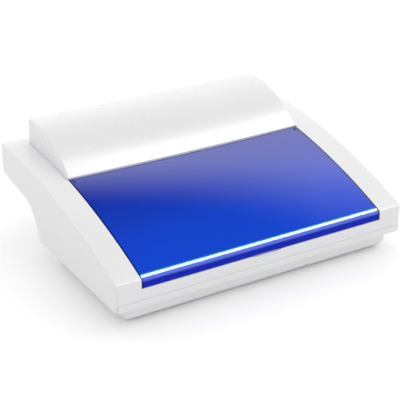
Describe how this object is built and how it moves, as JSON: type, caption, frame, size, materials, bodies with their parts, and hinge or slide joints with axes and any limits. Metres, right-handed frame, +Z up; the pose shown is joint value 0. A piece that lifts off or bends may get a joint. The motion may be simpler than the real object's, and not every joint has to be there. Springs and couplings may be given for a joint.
{
  "type": "ultraviolet sterilizer cabinet",
  "caption": "Table-top ultraviolet sterilizer cabinet with a curved translucent blue lid, wide curved rails and a raised white lamp hood.",
  "frame": {"origin": "on the table, under the middle of the cabinet's footprint box", "axes": "+X to the right seen from the front, -Y towards the user at the lid's lip, +Z up"},
  "size_m": [0.39, 0.302, 0.1448],
  "materials": {
    "white_plastic": "cool white moulded plastic, satin gloss",
    "blue_acrylic": "glossy translucent deep blue acrylic",
    "satin_steel": "satin stainless steel",
    "choke_steel": "dark varnished laminations",
    "bright_aluminium": "bright rolled aluminium",
    "lamp_glass": "clear quartz lamp tube",
    "black_plastic": "matt black moulded plastic",
    "holder_plastic": "matt cream moulded plastic",
    "grey_rubber": "matt dark grey rubber",
    "plated_brass": "nickel plated brass pins",
    "wire_red": "red insulated wire",
    "wire_blue": "blue insulated wire",
    "wire_grey": "grey insulated wire"
  },
  "bodies": {
    "cabinet": {"body_shell": "white_plastic", "base_shell": "white_plastic", "lamp_hood": "white_plastic", "hinge_pin_left": "satin_steel", "hinge_pin_right": "satin_steel", "chamber_tub": "satin_steel", "lamp_reflector": "bright_aluminium", "lamp_holder_left": "holder_plastic", "lamp_holder_right": "holder_plastic", "ballast": "choke_steel", "ballast_screw_front": "satin_steel", "ballast_screw_rear": "satin_steel", "base_screw_left_front": "satin_steel", "base_screw_left_middle": "satin_steel", "base_screw_left_rear": "satin_steel", "base_screw_right_front": "satin_steel", "base_screw_right_middle": "satin_steel", "base_screw_right_rear": "satin_steel", "hood_screw_left": "satin_steel", "hood_screw_right": "satin_steel", "starter_socket": "black_plastic", "power_inlet": "black_plastic", "inlet_pin_left": "plated_brass", "inlet_pin_earth": "plated_brass", "inlet_pin_right": "plated_brass", "switch_bezel": "black_plastic", "interlock_switch": "black_plastic", "lid_bumper_left": "grey_rubber", "lid_bumper_right": "grey_rubber", "foot_left_front": "grey_rubber", "foot_left_rear": "grey_rubber", "foot_right_front": "grey_rubber", "foot_right_rear": "grey_rubber", "wire_inlet_to_switch": "wire_red", "wire_switch_to_interlock": "wire_red", "wire_interlock_to_ballast": "wire_red", "wire_ballast_to_lamp": "wire_red", "wire_lamp_to_starter": "wire_grey", "wire_starter_to_lamp": "wire_grey", "wire_inlet_to_lamp": "wire_blue"},
    "lid": {"lid": "blue_acrylic"},
    "rocker": {"switch_rocker": "black_plastic"},
    "lamp": {"lamp_tube": "lamp_glass", "lamp_cap_left": "bright_aluminium", "lamp_cap_right": "bright_aluminium", "holder_rotor_left": "holder_plastic", "holder_rotor_right": "holder_plastic"},
    "starter": {"starter": "holder_plastic"},
    "plunger": {"interlock_plunger": "holder_plastic"}
  },
  "joints": [
    {"name": "lid_hinge", "type": "hinge", "parent": "cabinet", "child": "lid", "pos_m": [0, 0.018, 0.09813], "axis": [-1, 0, 0], "range_deg": [0, 105]},
    {"name": "rocker_tilt", "type": "hinge", "parent": "cabinet", "child": "rocker", "pos_m": [0.095, 0.1466, 0.094], "axis": [1, 0, 0], "range_deg": [0, 20]},
    {"name": "lamp_twist", "type": "hinge", "parent": "cabinet", "child": "lamp", "pos_m": [0, 0.061, 0.095], "axis": [1, 0, 0], "range_deg": [0, 90]},
    {"name": "starter_twist", "type": "hinge", "parent": "cabinet", "child": "starter", "pos_m": [0.0703, 0.111, 0.091], "axis": [1, 0, 0], "range_deg": [0, 40]},
    {"name": "plunger_slide", "type": "slide", "parent": "cabinet", "child": "plunger", "axis": [0, 0, 1], "range_m": [0, 0.0012]}
  ],
  "couplings": [
    {"joint": "plunger_slide", "follows": "lid_hinge", "m_per_rad": 0.0006548}
  ]
}
